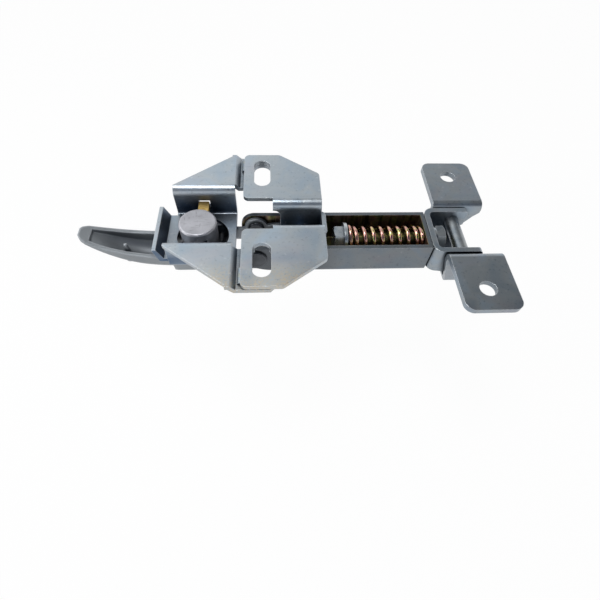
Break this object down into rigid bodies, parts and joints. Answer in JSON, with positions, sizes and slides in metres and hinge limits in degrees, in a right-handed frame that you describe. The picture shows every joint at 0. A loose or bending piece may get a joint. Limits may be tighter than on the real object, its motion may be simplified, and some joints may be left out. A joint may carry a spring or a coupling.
{
  "type": "engine cover lock",
  "caption": "Over-centre draw latch for an engine cover, with a keyed pull handle, slotted mounting wings and a sprung draw rod that ends in a swinging ear bracket.",
  "frame": {"origin": "midway between the two slotted mounting holes, on the top face of the wings", "axes": "+X along the latch from the pull handle to the ear bracket, +Y across it, +Z out of the mounting wings"},
  "size_m": [0.2246, 0.1084, 0.0368],
  "materials": {
    "zinc_plate": "satin",
    "zinc_fasteners": "satin",
    "cast_zinc": "satin",
    "raw_casting": "satin",
    "yellow_chromate": "gloss",
    "brass": "satin",
    "dark_steel": "satin"
  },
  "bodies": {
    "bracket": {"lock_bracket": "zinc_plate", "pivot_bracket": "zinc_plate", "weld_beads": "zinc_plate", "handle_pivot_pin": "zinc_fasteners"},
    "handle": {"pull_handle": "cast_zinc", "lock_barrel": "raw_casting", "barrel_roll_pin": "dark_steel"},
    "plug": {"lock_plug": "raw_casting", "lock_wafers": "brass"},
    "bolt": {"lock_bolt": "brass"},
    "drawbar": {"drawbar_channel": "zinc_plate", "drawbar_rivets": "zinc_fasteners", "draw_spring": "yellow_chromate"},
    "rod": {"draw_bolt": "zinc_fasteners", "spring_collar": "zinc_fasteners", "rod_clevis": "zinc_plate", "lock_washer": "zinc_fasteners", "clevis_nut": "zinc_fasteners", "cross_pin": "zinc_fasteners", "cross_pin_clip": "dark_steel"},
    "ears": {"ear_bracket": "zinc_plate"}
  },
  "joints": [
    {"name": "handle_swing", "type": "hinge", "parent": "bracket", "child": "handle", "pos_m": [0.022, 0, -0.0226], "axis": [0, -1, 0], "range_deg": [0, 98]},
    {"name": "drawbar_pivot", "type": "hinge", "parent": "handle", "child": "drawbar", "pos_m": [-0.004, 0, -0.0208], "axis": [0, -1, 0], "range_deg": [-98, 0]},
    {"name": "rod_slide", "type": "slide", "parent": "drawbar", "child": "rod", "axis": [1, 0, 0], "range_m": [0, 0.007], "stiffness_N_per_m": 13500, "springref_m": -0.004, "deforming": ["draw_spring"]},
    {"name": "ear_swing", "type": "hinge", "parent": "rod", "child": "ears", "pos_m": [0.1105, 0, -0.0208], "axis": [0, 1, 0], "range_deg": [-20, 20]},
    {"name": "plug_turn", "type": "hinge", "parent": "handle", "child": "plug", "pos_m": [-0.034, 0, -0.025], "axis": [0, 0, 1], "range_deg": [0, 90]},
    {"name": "bolt_slide", "type": "slide", "parent": "handle", "child": "bolt", "axis": [0, 1, 0], "range_m": [0, 0.00226]}
  ],
  "couplings": [
    {"joint": "drawbar_pivot", "follows": "handle_swing", "ratio": -1},
    {"joint": "plug_turn", "follows": "bolt_slide", "rad_per_m": 694.8}
  ]
}
